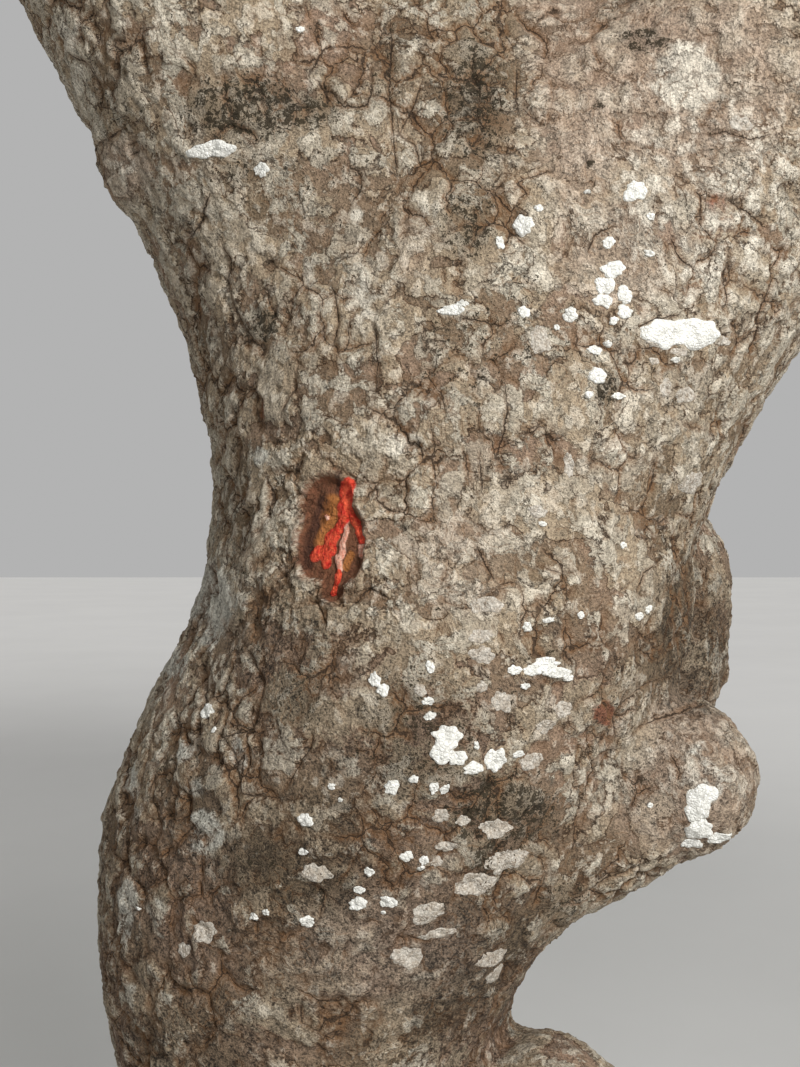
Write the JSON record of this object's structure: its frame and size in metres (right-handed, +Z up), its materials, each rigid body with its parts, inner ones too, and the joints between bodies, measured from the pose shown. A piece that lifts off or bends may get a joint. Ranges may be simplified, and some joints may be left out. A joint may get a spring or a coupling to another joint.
{
  "type": "marula tree",
  "caption": "Marula tree with a knobbly, wounded trunk that forks low into leading boughs, side boughs and rounded masses of leaves.",
  "frame": {"origin": "middle of the trunk's foot, on the level ground", "axes": "+Z up along the trunk, -Y towards the viewer of the picture, +X to the viewer's right, towards the burl"},
  "size_m": [6.8419, 6.9403, 6.915],
  "materials": {
    "bark": "rough scaly bark",
    "foliage": "matte to satin leaves"
  },
  "bodies": {
    "root": {"trunk": "bark", "bough_left": "bark", "bough_middle": "bark", "bough_right": "bark", "bough_left_front": "bark", "bough_left_side": "bark", "bough_left_back": "bark", "bough_right_front": "bark", "bough_right_corner": "bark", "bough_right_side": "bark", "bough_middle_back": "bark", "bough_middle_right": "bark", "bough_middle_left": "bark", "bough_middle_front": "bark", "foliage_low_1": "foliage", "foliage_low_2": "foliage", "foliage_low_3": "foliage", "foliage_low_4": "foliage", "foliage_low_5": "foliage", "foliage_low_6": "foliage", "foliage_low_7": "foliage", "foliage_high_1": "foliage", "foliage_high_2": "foliage", "foliage_high_3": "foliage", "foliage_high_4": "foliage", "foliage_high_5": "foliage", "foliage_top_1": "foliage"}
  },
  "joints": []
}
